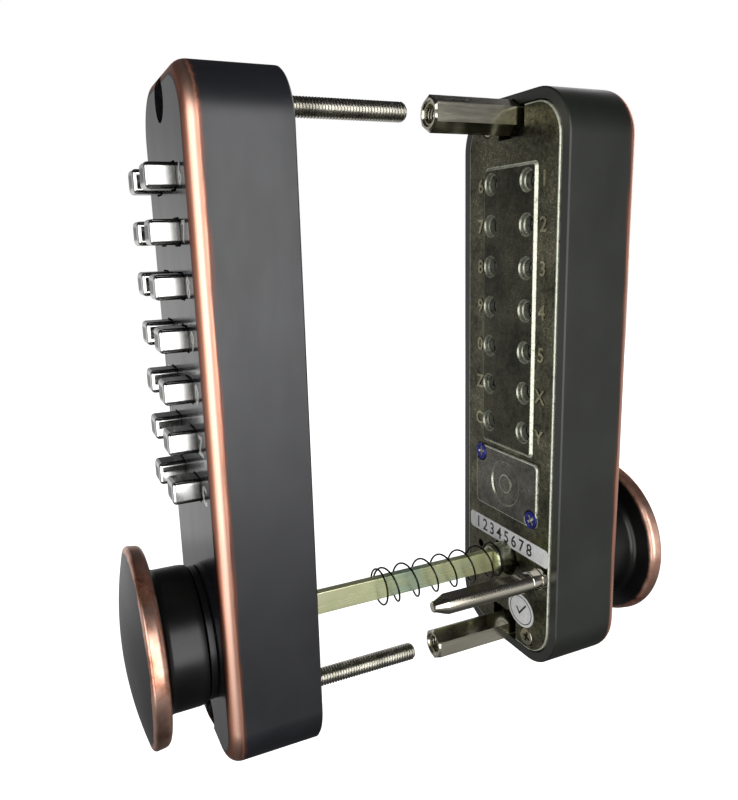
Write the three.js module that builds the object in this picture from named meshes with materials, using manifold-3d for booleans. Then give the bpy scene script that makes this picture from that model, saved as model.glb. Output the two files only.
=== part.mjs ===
// Mechanical keypad door lock: two cast halves, one for each face of a door, shown drawn apart.
// Millimetres, +Z up. The indoor half faces -Y, the outdoor half faces +Y, and the door goes
// between them. The origin is the indoor half's door face, half way up, on its centre line.
//
// Each half is drawn as a person facing its keypad sees it: x to their right, y up and z towards
// them, with z = 0 at the rim of the case that meets the door. Two groups turn it into place.
import * as THREE from 'three';
import { mergeVertices } from 'three/addons/utils/BufferGeometryUtils.js';
import Module from 'manifold-3d';

const wasm = await Module();
wasm.setup();

// Case
const caseHeight = 160;
const caseWidth = 47;
const caseDepth = 22.5;
const caseCorner = 13;
const caseFillet = 3.4;
const sideWall = 3;
const faceWall = 2.6;

// Clearances
const fitGap = 0.3; // between pieces that are fixed together
const runningGap = 0.3; // around a piece that turns or slides
const windowGap = 0.35; // around a button in its window

// Back plate, with the raised panel that bears on the door
const plateThickness = 2.4;
const plateProud = 0.4;
const panelRise = 0.7;
const panelChamfer = 0.7;
const panelWidth = 24;
const panelCorner = 1.2;
const panelTopMargin = 4.5; // from the first row of buttons
const panelBottomMargin = 6.6; // from the last row
const plateScrewInset = 7; // from the ends of the case
const plateScrewOffset = 10.8; // from the centre line
const spareHoleRadius = 1.3; // for a latch screw
const spareHoleOffset = 13.1; // from the centre line
const spareHoleDrop = 0.7; // below the spindle axis

// Keypad
const rowCount = 7;
const firstRowFromTop = 22.5;
const rowPitch = 11.4;
const columnOffset = 8.2;
const capWidth = 7;
const capHeight = 5.4;
const capProud = 6.4;
const capCorner = 1.1;
const capEdge = 0.7;
const capFlange = 0.9; // how far the flange reaches past the window
const flangeThickness = 1.4;
const tumblerRadius = 2.1;
const tumblerBore = 1.2;
const tumblerBoreDepth = 3;
const buttonTravel = 2.2;
const tumblerMouthRadius = 2.8;
const tumblerMouthDepth = 1.3;

// Code cover and its screws
const coverWidth = 30;
const coverHeight = 19.4;
const coverCorner = 1.8;
const coverThickness = 0.9;
const coverEdge = 0.35;
const coverPocket = 0.4;
const coverFromPanel = 1.3; // below the raised panel
const coverScrewInset = 2.6;
const coverBossRadius = 6.6;
const coverBossDepth = 0.4;
const coverDiscRadius = 2.9;

// Flat-head screws
const screwHeadRadius = 2.6;
const screwShankRadius = 1.2;
const screwHeadHeight = 1.2;
const screwLength = 6;
const screwTipRadius = 0.7;
const screwTipLength = 0.6;
const screwBossRadius = 3.2;

// Knob, collar, hub and spindle
const knobFromBottom = 28.5; // spindle axis above the bottom of the case
const knobRadius = 24.2;
const neckRadius = 17.3;
const neckLength = 9.4;
const neckEdge = 0.5;
const neckFillet = 1.2;
const knobRimThickness = 5;
const knobRimEdge = 1.6;
const knobDome = 2.8;
const collarRadius = 16.4;
const collarThickness = 1.5;
const hubShaftRadius = 6;
const hubKnobDepth = 11; // how far the hub reaches into the knob, past the case's face
const camRadius = 8.5;
const camThickness = 4;
const crankWidth = 5;
const crankReach = 10.6;
const noseRadius = 4.5;
const indoorNoseSunk = 0.1; // below the door plane
const outdoorNose = 5.9; // stands out of the outdoor rim
const hubHoleRadius = 5.8;
const hubHoleNotch = 1.6;
const hubHoleNotchDepth = 1.2;
const spindleHeight = 6.2;
const spindleThickness = 2.4;
const spindleIndoorDepth = 14;
const spindleOutdoorDepth = 3;

// Bolts, sleeves and steady pin
const boltFromEnd = 6; // bolt axis from each end of the case
const boltRadius = 2.45;
const boltHeadRadius = 4.2;
const boltHeadHeight = 4;
const boltHeadChamfer = 0.6;
const boltTipChamfer = 0.8;
const boltReach = 37; // past the indoor rim
const counterboreRadius = 4.75;
const counterboreDepth = 9;
const boltBossWall = 1.3;
const sleeveFlats = 8;
const sleeveReach = 26; // past the outdoor rim
const notchSideGap = 1.7; // from the sleeve's flats to the sides of its notch in the plate
const notchEndGap = 0.6; // from the sleeve's point to the end of the notch
const steadyPinRadius = 2.8;
const steadyPinTenon = 1.8; // radius in the plate
const steadyPinRivet = 0.5; // past the plate's inner face
const steadyPinReach = 36;
const steadyPinOffset = 17.1;
const steadyPinTip = 4;
const steadyPinTipRadius = 1.5;
const steadyPinCollar = 3.05;
const steadyPinCollarHeight = 1.2;
const steadyPinFlat = 2.2; // half the width left between its milled flats
const steadyPinFlatEnd = 3; // from the collar

// Lock slide
const slideHalfWidth = 4.3;
const slideTooth = 5.2;
const slideToothHeight = 2;
const slideThickness = 1.5;
const slideLevel = 8;
const slideTopMargin = 3.5;

// Springs
const spindleSpringLength = 38.5;
const spindleSpringRadius = 5;
const spindleSpringWire = 0.27;
const spindleSpringTurns = 8;
const spindleSpringSeat = 1.2; // up the nose from its end
const knobSpringRadius = 7.8;
const knobSpringWire = 0.45;
const knobSpringTurns = 4;
const knobSpringFoot = 1; // above the cam
const knobSpringHead = 1.5; // below the face

// Distance between the two rims, as drawn apart
const rimGap = 70;

// How closely curves are drawn, and how far a cutting shape reaches past what it cuts
const coarse = 9; // sides of a small round
const fine = 20; // sides of a large one
const knobSides = 28;
const boltSides = 16;
const boreSides = 6;
const roundSteps = 4; // in a quarter of the case's outer rounds
const hollowSteps = 3; // in a quarter of its inner ones
const rimSteps = 3; // in a quarter of the knob's rim
const domeSteps = 3;
const coilSteps = 10; // in a turn of a spring
const overcut = 1;

// Places that follow from the sizes above
const top = caseHeight / 2;
const rows = Array.from({ length: rowCount }, (_, row) => top - firstRowFromTop - row * rowPitch);
const knobHeight = knobFromBottom - top;
const boltHeights = [top - boltFromEnd, boltFromEnd - top];
const plateOuter = -plateProud;
const plateInner = plateThickness - plateProud;
const doorPlane = plateOuter - panelRise;
const panelTop = rows[0] + panelTopMargin;
const panelBottom = rows[rowCount - 1] - panelBottomMargin;
const coverTop = panelBottom - coverFromPanel;
const coverMiddle = coverTop - coverHeight / 2;
const coverLower = plateOuter + coverPocket - fitGap / 2;
const coverUpper = coverLower - coverThickness;
const faceInner = caseDepth - faceWall;
const boltBossRadius = counterboreRadius + boltBossWall;
const boltHole = boltRadius + fitGap;
const screwHole = screwShankRadius + fitGap;
const plateScrews = [
  [-plateScrewOffset, plateScrewInset - top],
  [plateScrewOffset, top - plateScrewInset],
];
const coverScrews = [
  [coverWidth / 2 - coverScrewInset, coverTop - coverScrewInset],
  [coverScrewInset - coverWidth / 2, coverTop - coverHeight + coverScrewInset],
];
const tumblerEnd = plateOuter + buttonTravel;

const finishes = {
  bronze: { color: 0x2e2f31, roughness: 0.42, metalness: 0.75 },
  knobBronze: { color: 0x2a2624, roughness: 0.4, metalness: 0.75 },
  zincPlate: { color: 0x6d6a4e, roughness: 0.45, metalness: 0.85 },
  chrome: { color: 0xb9bbbc, roughness: 0.22, metalness: 0.95 },
  steel: { color: 0x8f8d86, roughness: 0.35, metalness: 0.95 },
  nickel: { color: 0xb3ab98, roughness: 0.25, metalness: 0.95 },
  yellowZinc: { color: 0xb9b97a, roughness: 0.35, metalness: 0.85 },
  blueLacquer: { color: 0x1f2a78, roughness: 0.3, metalness: 0.3 },
  springBlack: { color: 0x1c1b1a, roughness: 0.4, metalness: 0.8 },
};

// A closed three.js geometry as a manifold solid, turned the right way out.
function solid(geometry) {
  const bare = geometry.clone();
  bare.deleteAttribute('normal');
  bare.deleteAttribute('uv');
  const merged = mergeVertices(bare, 1e-4);
  const points = merged.attributes.position.array;
  const corners = [];
  let volume = 0;
  const a = new THREE.Vector3();
  const b = new THREE.Vector3();
  const c = new THREE.Vector3();
  for (let i = 0; i < merged.index.count; i += 3) {
    const face = [merged.index.getX(i), merged.index.getX(i + 1), merged.index.getX(i + 2)];
    const flat = face[0] === face[1] || face[1] === face[2] || face[2] === face[0];
    if (!flat) {
      corners.push(face);
      a.fromArray(points, face[0] * 3);
      b.fromArray(points, face[1] * 3);
      c.fromArray(points, face[2] * 3);
      volume += a.dot(b.cross(c));
    }
  }
  const outward = volume < 0 ? corners.map((face) => face.reverse()) : corners;
  const mesh = new wasm.Mesh({
    numProp: 3,
    vertProperties: Float32Array.from(points),
    triVerts: Uint32Array.from(outward.flat()),
  });
  return new wasm.Manifold(mesh);
}

// A rectangle with round corners, centred on a point.
function roundRect(width, height, corner, x = 0, y = 0) {
  const right = x + width / 2 - corner;
  const left = x - width / 2 + corner;
  const upper = y + height / 2 - corner;
  const lower = y - height / 2 + corner;
  const shape = new THREE.Shape();
  shape.absarc(right, upper, corner, 0, Math.PI / 2);
  shape.absarc(left, upper, corner, Math.PI / 2, Math.PI);
  shape.absarc(left, lower, corner, Math.PI, Math.PI * 1.5);
  shape.absarc(right, lower, corner, Math.PI * 1.5, Math.PI * 2);
  shape.closePath();
  return shape;
}

// A flat outline made solid between two levels.
function prism(shape, from, to, curveSegments = 1) {
  const geometry = new THREE.ExtrudeGeometry(shape, {
    depth: to - from,
    bevelEnabled: false,
    curveSegments,
  });
  geometry.translate(0, 0, from);
  return solid(geometry);
}

// An outline made solid from one level to another, with its edge at the second level rounded, or
// chamfered when steps is 1. The second level may be above or below the first.
function edgedPrism(shape, from, to, edge, steps, curveSegments = 1) {
  const height = Math.abs(to - from);
  const geometry = new THREE.ExtrudeGeometry(shape, {
    depth: height,
    bevelThickness: edge,
    bevelSize: edge,
    bevelOffset: -edge,
    bevelSegments: steps,
    curveSegments,
  });
  geometry.translate(0, 0, -edge);
  const size = 4 * (caseWidth + caseHeight);
  const below = new THREE.BoxGeometry(size, size, 2 * (edge + overcut));
  below.translate(0, 0, -edge - overcut);
  if (to < from) {
    geometry.scale(1, 1, -1);
    below.scale(1, 1, -1);
  }
  geometry.translate(0, 0, from);
  below.translate(0, 0, from);
  return solid(geometry).subtract(solid(below));
}

function block(x0, x1, y0, y1, z0, z1) {
  const geometry = new THREE.BoxGeometry(x1 - x0, y1 - y0, z1 - z0);
  geometry.translate((x0 + x1) / 2, (y0 + y1) / 2, (z0 + z1) / 2);
  return solid(geometry);
}

function rod(radius, from, to, x = 0, y = 0, sides = fine) {
  const geometry = new THREE.CylinderGeometry(radius, radius, to - from, sides);
  geometry.rotateX(Math.PI / 2);
  geometry.translate(x, y, (from + to) / 2);
  return solid(geometry);
}

// A hexagonal bar on the centre line, with points up and down.
function hexBar(flats, from, to, y) {
  const radius = flats / Math.sqrt(3);
  const geometry = new THREE.CylinderGeometry(radius, radius, to - from, 6);
  geometry.rotateX(Math.PI / 2);
  geometry.translate(0, y, (from + to) / 2);
  return solid(geometry);
}

// [radius, level] pairs of a quarter round, whose centre is given, from an angle in radians.
function quarterRound(radius, level, size, start) {
  return Array.from({ length: rimSteps + 1 }, (_, step) => {
    const angle = start + ((step / rimSteps) * Math.PI) / 2;
    return [radius + size * Math.cos(angle), level + size * Math.sin(angle)];
  });
}

// A piece turned about an axis along z, from [radius, level] pairs that start and end on the axis.
function turned(profile, x = 0, y = 0, sides = fine) {
  const points = profile.map(([radius, level]) => new THREE.Vector2(radius, level));
  const geometry = new THREE.LatheGeometry(points, sides);
  geometry.rotateX(Math.PI / 2);
  geometry.translate(x, y, 0);
  return solid(geometry);
}

class Helix extends THREE.Curve {
  constructor(radius, from, to, turns, x, y) {
    super();
    Object.assign(this, { radius, from, to, turns, x, y });
  }

  getPoint(t, target = new THREE.Vector3()) {
    const angle = t * this.turns * Math.PI * 2;
    return target.set(
      this.x + this.radius * Math.cos(angle),
      this.y + this.radius * Math.sin(angle),
      this.from + (this.to - this.from) * t,
    );
  }
}

// A round wire wound on a helix.
function coil(radius, wire, from, to, turns, x, y) {
  const section = new THREE.Shape();
  section.absarc(0, 0, wire, 0, Math.PI * 2);
  const geometry = new THREE.ExtrudeGeometry(section, {
    steps: turns * coilSteps,
    curveSegments: 3,
    extrudePath: new Helix(radius, from, to, turns, x, y),
  });
  return solid(geometry);
}

function piece(name, shape, finish) {
  const mesh = shape.getMesh();
  const geometry = new THREE.BufferGeometry();
  geometry.setAttribute('position', new THREE.BufferAttribute(mesh.vertProperties, 3));
  geometry.setIndex(new THREE.BufferAttribute(mesh.triVerts, 1));
  geometry.computeVertexNormals();
  const result = new THREE.Mesh(geometry, new THREE.MeshStandardMaterial(finishes[finish]));
  result.name = name;
  return result;
}

// Cast case, open at the door side: a keypad face with its windows, a bearing hole for the hub, a
// boss at each end for a bolt or a sleeve, and two bosses for the back plate's screws.
function makeCase(bolted) {
  const outline = roundRect(caseWidth, caseHeight, caseCorner);
  const whole = edgedPrism(outline, 0, caseDepth, caseFillet, roundSteps, roundSteps);
  const hollow = roundRect(caseWidth - 2 * sideWall, caseHeight - 2 * sideWall, caseCorner - sideWall);
  const outside = caseDepth + overcut;
  let body = whole.subtract(prism(hollow, -overcut, faceInner, hollowSteps));
  const bossFoot = plateInner + fitGap;
  for (const y of boltHeights) {
    body = body.add(rod(boltBossRadius, bossFoot, faceInner + overcut, 0, y).intersect(whole));
  }
  for (const [x, y] of plateScrews) {
    body = body.add(rod(screwBossRadius, bossFoot, faceInner + overcut, x, y, coarse));
    body = body.subtract(rod(screwHole, -overcut, plateInner + screwLength + overcut, x, y, coarse));
  }
  for (const y of boltHeights) {
    if (bolted) {
      body = body.subtract(rod(boltHole, -overcut, outside, 0, y, coarse));
      body = body.subtract(rod(counterboreRadius, caseDepth - counterboreDepth, outside, 0, y));
    } else {
      body = body.subtract(hexBar(sleeveFlats + 2 * fitGap, -overcut, bossFoot, y));
    }
  }
  for (const y of rows) {
    for (const x of [-columnOffset, columnOffset]) {
      const width = capWidth + 2 * windowGap;
      const height = capHeight + 2 * windowGap;
      const window = roundRect(width, height, capCorner + windowGap, x, y);
      body = body.subtract(prism(window, faceInner - overcut, outside));
    }
  }
  return body.subtract(rod(hubShaftRadius + runningGap, faceInner - overcut, outside, 0, knobHeight));
}

// Pressed back plate with its raised panel, notched at both ends round the bolts or sleeves.
function makePlate(pinned) {
  const inset = sideWall + fitGap;
  const outline = roundRect(caseWidth - 2 * inset, caseHeight - 2 * inset, caseCorner - inset);
  const panelMiddle = (panelTop + panelBottom) / 2;
  const panel = roundRect(panelWidth, panelTop - panelBottom, panelCorner, 0, panelMiddle);
  const low = doorPlane - overcut;
  const high = plateInner + overcut;
  let body = prism(outline, plateOuter, plateInner, roundSteps);
  body = body.add(edgedPrism(panel, plateInner - overcut, doorPlane, panelChamfer, 1));
  for (const y of rows) {
    for (const x of [-columnOffset, columnOffset]) {
      body = body.subtract(rod(tumblerMouthRadius, low, doorPlane + tumblerMouthDepth, x, y, coarse));
      body = body.subtract(rod(tumblerRadius + runningGap, low, high, x, y, coarse));
    }
  }
  const cover = roundRect(coverWidth + fitGap, coverHeight + fitGap, coverCorner, 0, coverMiddle);
  body = body.subtract(prism(cover, low, plateOuter + coverPocket));
  for (const [x, y] of coverScrews) {
    body = body.subtract(rod(screwHole, low, high, x, y, coarse));
  }
  for (const [x, y] of plateScrews) {
    body = body.subtract(screwSeat(plateOuter, x, y));
  }
  const notchHalf = sleeveFlats / 2 + notchSideGap;
  for (const y of boltHeights) {
    const inner = Math.abs(y) - sleeveFlats / Math.sqrt(3) - notchEndGap;
    const [near, far] = y > 0 ? [inner, top] : [-top, -inner];
    body = body.subtract(block(-notchHalf, notchHalf, near, far, low, high));
  }
  body = body.subtract(rod(hubHoleRadius, low, high, 0, knobHeight));
  const notchReach = hubHoleRadius + hubHoleNotchDepth;
  const half = hubHoleNotch / 2;
  body = body.subtract(block(-notchReach, notchReach, knobHeight - half, knobHeight + half, low, high));
  body = body.subtract(rod(spareHoleRadius, low, high, spareHoleOffset, knobHeight - spareHoleDrop, coarse));
  if (pinned) {
    body = body.subtract(rod(steadyPinTenon + fitGap, low, high, -steadyPinOffset, knobHeight, coarse));
  }
  return body;
}

// The hole that a flat-head screw leaves in a plate whose outer face is at the given level.
function screwSeat(level, x, y) {
  const head = screwHeadRadius + fitGap;
  const profile = [
    [0, level - overcut],
    [head, level - overcut],
    [head, level],
    [screwHole, level + screwHeadHeight + fitGap],
    [screwHole, plateInner + overcut],
    [0, plateInner + overcut],
  ];
  return turned(profile, x, y, coarse);
}

function makeScrew(level, x, y) {
  const profile = [
    [0, level],
    [screwHeadRadius, level],
    [screwShankRadius, level + screwHeadHeight],
    [screwShankRadius, level + screwLength - screwTipLength],
    [screwTipRadius, level + screwLength],
    [0, level + screwLength],
  ];
  return turned(profile, x, y, coarse);
}

// Small plate over the code chamber, with a round coin recess and a flat disc in its middle.
function makeCover() {
  const outline = roundRect(coverWidth - fitGap, coverHeight - fitGap, coverCorner, 0, coverMiddle);
  let body = edgedPrism(outline, coverLower, coverUpper, coverEdge, 1);
  const recessFloor = coverUpper + coverBossDepth;
  const recess = rod(coverBossRadius, coverUpper - overcut, recessFloor, 0, coverMiddle);
  const disc = rod(coverDiscRadius, coverUpper - overcut, recessFloor, 0, coverMiddle);
  body = body.subtract(recess.subtract(disc));
  for (const [x, y] of coverScrews) {
    body = body.subtract(screwSeat(coverUpper, x, y));
  }
  return body;
}

// Button: a cap that stands out of the face, a flange that keeps it in, and a round tumbler whose
// hollow end lies in the back plate.
function makeButton(x, y) {
  const flangeTop = faceInner - runningGap;
  const halfWidth = capWidth / 2 + windowGap + capFlange;
  const halfHeight = capHeight / 2 + windowGap + capFlange;
  const flange = [x - halfWidth, x + halfWidth, y - halfHeight, y + halfHeight];
  const cap = roundRect(capWidth, capHeight, capCorner, x, y);
  const flangeMiddle = flangeTop - flangeThickness / 2;
  const body = edgedPrism(cap, flangeMiddle, caseDepth + capProud, capEdge, 1)
    .add(block(...flange, flangeTop - flangeThickness, flangeTop))
    .add(rod(tumblerRadius, tumblerEnd, flangeMiddle, x, y, coarse));
  const boreEnd = tumblerEnd + tumblerBoreDepth;
  return body.subtract(rod(tumblerBore, tumblerEnd - overcut, boreEnd, x, y, boreSides));
}

// Mushroom knob: a neck and a wide domed disc, with a blind socket for the hub.
function makeKnob() {
  const foot = caseDepth + fitGap + collarThickness + runningGap;
  const back = foot + neckLength;
  const front = back + knobRimThickness;
  const socket = hubShaftRadius + fitGap;
  const socketEnd = caseDepth + hubKnobDepth + fitGap;
  const disc = knobRadius - knobRimEdge;
  const dome = Array.from({ length: domeSteps }, (_, step) => {
    const share = 1 - (step + 1) / domeSteps;
    return [disc * share, front + knobDome * (1 - share * share)];
  });
  const profile = [
    [0, socketEnd],
    [socket, socketEnd],
    [socket, foot],
    [neckRadius - neckEdge, foot],
    [neckRadius, foot + 2 * neckEdge],
    [neckRadius, back - neckFillet],
    [neckRadius + neckFillet, back],
    ...quarterRound(disc, back + knobRimEdge, knobRimEdge, -Math.PI / 2),
    ...quarterRound(disc, front - knobRimEdge, knobRimEdge, 0),
    ...dome,
  ];
  return turned(profile, 0, knobHeight, knobSides);
}

function makeCollar() {
  const low = caseDepth + fitGap;
  const high = low + collarThickness;
  const ring = rod(collarRadius, low, high, 0, knobHeight);
  return ring.subtract(rod(hubShaftRadius + runningGap, low - overcut, high + overcut, 0, knobHeight));
}

// Hub: a shaft that carries the knob, a cam that moves the lock slide and a nose towards the door,
// slotted right through for the spindle.
function makeHub(noseEnd) {
  const camLow = plateInner + 2 * fitGap;
  const camHigh = camLow + camThickness;
  const slotHalfWidth = spindleThickness / 2 + runningGap;
  const slotHalfHeight = spindleHeight / 2 + runningGap;
  const end = caseDepth + hubKnobDepth;
  const slot = block(
    -slotHalfWidth,
    slotHalfWidth,
    knobHeight - slotHalfHeight,
    knobHeight + slotHalfHeight,
    noseEnd - overcut,
    end + overcut,
  );
  return rod(noseRadius, noseEnd, camLow + overcut, 0, knobHeight)
    .add(rod(camRadius, camLow, camHigh, 0, knobHeight))
    .add(block(-crankWidth / 2, crankWidth / 2, knobHeight, knobHeight + crankReach, camLow, camHigh))
    .add(rod(hubShaftRadius, camHigh - overcut, end, 0, knobHeight))
    .subtract(slot);
}

// Flat plate between the two columns of tumblers, with a tooth towards each.
function makeLockSlide() {
  const high = rows[0] + slideTopMargin;
  const low = knobHeight + crankReach + slideTopMargin;
  const bottom = slideLevel;
  const level = slideLevel + slideThickness;
  let body = block(-slideHalfWidth, slideHalfWidth, low, high, bottom, level);
  for (const y of rows) {
    const half = slideToothHeight / 2;
    body = body.add(block(-slideTooth, slideTooth, y - half, y + half, bottom, level));
  }
  return body;
}

function makeBolt(y) {
  const seat = caseDepth - counterboreDepth + fitGap;
  const profile = [
    [0, -boltReach],
    [boltRadius - boltTipChamfer, -boltReach],
    [boltRadius, boltTipChamfer - boltReach],
    [boltRadius, seat],
    [boltHeadRadius, seat],
    [boltHeadRadius, seat + boltHeadHeight - boltHeadChamfer],
    [boltHeadRadius - boltHeadChamfer, seat + boltHeadHeight],
    [0, seat + boltHeadHeight],
  ];
  return turned(profile, 0, y, boltSides);
}

// Hexagonal threaded sleeve that stands on the case's end boss.
function makeSleeve(y) {
  const bar = hexBar(sleeveFlats, -sleeveReach, plateInner, y);
  return bar.subtract(rod(boltHole, -sleeveReach - overcut, plateInner + overcut, 0, y, boltSides));
}

// Steady pin riveted to the outdoor plate: a collar, a round shank with two milled flats, a taper.
function makeSteadyPin() {
  const collarLow = plateOuter - fitGap - steadyPinCollarHeight;
  const rivetEnd = plateInner + steadyPinRivet;
  const profile = [
    [0, -steadyPinReach],
    [steadyPinTipRadius, -steadyPinReach],
    [steadyPinRadius, steadyPinTip - steadyPinReach],
    [steadyPinRadius, collarLow],
    [steadyPinCollar, collarLow],
    [steadyPinCollar, plateOuter - fitGap],
    [steadyPinTenon, plateOuter - fitGap],
    [steadyPinTenon, rivetEnd],
    [0, rivetEnd],
  ];
  let body = turned(profile, -steadyPinOffset, knobHeight);
  const left = -steadyPinOffset - steadyPinRadius - overcut;
  const right = steadyPinRadius + overcut - steadyPinOffset;
  const flatStart = -steadyPinReach - overcut;
  const flatEnd = collarLow - steadyPinFlatEnd;
  for (const side of [-1, 1]) {
    const near = knobHeight + side * steadyPinFlat;
    const far = knobHeight + side * (steadyPinRadius + overcut);
    const [low, high] = [Math.min(near, far), Math.max(near, far)];
    body = body.subtract(block(left, right, low, high, flatStart, flatEnd));
  }
  return body;
}

function makeSpindle() {
  const x = spindleThickness / 2;
  const y = spindleHeight / 2;
  return block(-x, x, knobHeight - y, knobHeight + y, -rimGap - spindleOutdoorDepth, spindleIndoorDepth);
}

function makeKnobSpring() {
  const low = plateInner + 2 * fitGap + camThickness + knobSpringFoot;
  const high = faceInner - knobSpringHead;
  return coil(knobSpringRadius, knobSpringWire, low, high, knobSpringTurns, 0, knobHeight);
}

function makeSpindleSpring() {
  const seat = spindleSpringSeat - outdoorNose;
  const end = seat - spindleSpringLength;
  return coil(spindleSpringRadius, spindleSpringWire, end, seat, spindleSpringTurns, 0, knobHeight);
}

// The pieces that both halves have.
function makeHalf(side, bolted, noseEnd) {
  const half = new THREE.Group();
  half.add(piece(`${side}_case`, makeCase(bolted), 'bronze'));
  half.add(piece(`${side}_back_plate`, makePlate(!bolted), 'zincPlate'));
  half.add(piece(`${side}_code_cover`, makeCover(), 'zincPlate'));
  half.add(piece(`${side}_lock_slide`, makeLockSlide(), 'steel'));
  half.add(piece(`${side}_hub`, makeHub(noseEnd), 'nickel'));
  half.add(piece(`${side}_knob`, makeKnob(), 'knobBronze'));
  half.add(piece(`${side}_knob_collar`, makeCollar(), 'bronze'));
  half.add(piece(`${side}_knob_spring`, makeKnobSpring(), 'springBlack'));
  coverScrews.forEach(([x, y], i) => {
    half.add(piece(`${side}_cover_screw_${i + 1}`, makeScrew(coverUpper, x, y), 'blueLacquer'));
  });
  plateScrews.forEach(([x, y], i) => {
    half.add(piece(`${side}_plate_screw_${i + 1}`, makeScrew(plateOuter, x, y), 'steel'));
  });
  const keys = { left: ['1', '2', '3', '4', '5', 'x', 'y'], right: ['6', '7', '8', '9', '0', 'z', 'c'] };
  rows.forEach((y, row) => {
    half.add(piece(`${side}_button_${keys.left[row]}`, makeButton(-columnOffset, y), 'chrome'));
    half.add(piece(`${side}_button_${keys.right[row]}`, makeButton(columnOffset, y), 'chrome'));
  });
  return half;
}

// Indoor half, with the bolts and the spindle.
const indoor = makeHalf('indoor', true, doorPlane + indoorNoseSunk);
indoor.add(piece('bolt_upper', makeBolt(boltHeights[0]), 'steel'));
indoor.add(piece('bolt_lower', makeBolt(boltHeights[1]), 'steel'));
indoor.add(piece('spindle', makeSpindle(), 'yellowZinc'));
indoor.rotation.x = Math.PI / 2;
indoor.position.y = doorPlane;

// Outdoor half, with the sleeves, the steady pin and the spring on the spindle.
const outdoor = makeHalf('outdoor', false, -outdoorNose);
outdoor.add(piece('sleeve_upper', makeSleeve(boltHeights[0]), 'nickel'));
outdoor.add(piece('sleeve_lower', makeSleeve(boltHeights[1]), 'nickel'));
outdoor.add(piece('steady_pin', makeSteadyPin(), 'nickel'));
outdoor.add(piece('spindle_spring', makeSpindleSpring(), 'springBlack'));
outdoor.rotation.x = Math.PI / 2;

const turnedAbout = new THREE.Group();
turnedAbout.add(outdoor);
turnedAbout.rotation.z = Math.PI;
turnedAbout.position.y = doorPlane + rimGap;

const group = new THREE.Group();
group.name = 'keypad_lock';
group.add(indoor, turnedAbout);

export default group;
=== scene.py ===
from math import cos, radians, sin, sqrt

import bpy
import numpy as np
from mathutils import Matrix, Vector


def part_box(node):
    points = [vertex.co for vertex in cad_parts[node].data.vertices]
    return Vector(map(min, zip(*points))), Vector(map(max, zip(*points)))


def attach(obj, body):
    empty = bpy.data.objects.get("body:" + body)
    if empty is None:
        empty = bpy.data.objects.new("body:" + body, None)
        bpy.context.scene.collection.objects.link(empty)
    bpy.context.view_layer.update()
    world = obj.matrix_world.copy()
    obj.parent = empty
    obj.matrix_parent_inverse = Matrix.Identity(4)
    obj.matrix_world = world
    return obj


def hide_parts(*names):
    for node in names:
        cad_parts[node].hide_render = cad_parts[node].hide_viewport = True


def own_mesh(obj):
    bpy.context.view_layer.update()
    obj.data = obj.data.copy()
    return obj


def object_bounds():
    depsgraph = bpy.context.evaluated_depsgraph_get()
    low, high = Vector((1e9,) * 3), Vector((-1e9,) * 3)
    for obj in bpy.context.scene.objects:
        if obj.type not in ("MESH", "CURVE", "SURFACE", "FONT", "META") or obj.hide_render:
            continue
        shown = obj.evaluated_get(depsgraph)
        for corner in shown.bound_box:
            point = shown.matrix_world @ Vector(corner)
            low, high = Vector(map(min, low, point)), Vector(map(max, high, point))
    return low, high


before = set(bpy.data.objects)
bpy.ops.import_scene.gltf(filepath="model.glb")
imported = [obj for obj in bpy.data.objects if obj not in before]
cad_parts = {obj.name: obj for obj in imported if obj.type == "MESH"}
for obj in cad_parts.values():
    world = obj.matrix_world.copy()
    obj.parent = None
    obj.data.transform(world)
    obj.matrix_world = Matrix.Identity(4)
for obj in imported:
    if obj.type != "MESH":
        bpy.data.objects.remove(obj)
cad_box = [list(corner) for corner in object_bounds()]

# ---------------------------------------------------------------------------------------------
# Camera
# A person's eye about a hand's length to the right of the indoor half and a little above it,
# looking past its edge at the back of the outdoor half.
# ---------------------------------------------------------------------------------------------
eye = (0.1707, -0.0553, 0.0436)
turn_left, look_down, lean = radians(65.0), radians(12.4), radians(-1.6)
focal_length = 33.0  # mm, on a 36 mm frame

ahead = np.array((-sin(turn_left) * cos(look_down), cos(turn_left) * cos(look_down), -sin(look_down)))
level = np.array((cos(turn_left), sin(turn_left), 0.0))
upward = np.cross(level, ahead)
right = level * cos(lean) + upward * sin(lean)
upper = upward * cos(lean) - level * sin(lean)

camera = bpy.data.objects.new("camera", bpy.data.cameras.new("camera"))
bpy.context.scene.collection.objects.link(camera)
pose = np.eye(4)
pose[:3, 0], pose[:3, 1], pose[:3, 2], pose[:3, 3] = right, upper, -ahead, eye
camera.matrix_world = pose.T.tolist()
camera.data.lens = focal_length
camera.data.sensor_width = 36
camera.data.clip_start = 0.005
camera.data.clip_end = 20
bpy.context.scene.camera = camera
bpy.context.scene.view_settings.view_transform = "Standard"

# ---------------------------------------------------------------------------------------------
# Room
# A white paper sweep, a sky that is bright along the horizon and dim above and below, and four
# large soft windows: beside the object, over the camera, left of the keypad and behind.
# ---------------------------------------------------------------------------------------------
floor_drop = 0.16  # below the middle of the object
floor_half = 4.0


def add(tree, kind, values=None, **settings):
    """A shader node with its settings. Each entry of values is a number or colour to set on the
    input of that name or number, or an output to join to it."""
    made = tree.nodes.new(kind)
    for key, value in settings.items():
        setattr(made, key, value)
    for key, value in (values or {}).items():
        if isinstance(value, bpy.types.NodeSocket):
            tree.links.new(value, made.inputs[key])
        else:
            made.inputs[key].default_value = value
    return made


def paint(code):
    """The scene-linear colour of an 0xRRGGBB code."""
    channels = np.array([(code >> 16) & 255, (code >> 8) & 255, code & 255]) / 255
    linear = np.where(channels <= 0.04045, channels / 12.92, ((channels + 0.055) / 1.055) ** 2.4)
    return (*linear.tolist(), 1.0)


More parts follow.
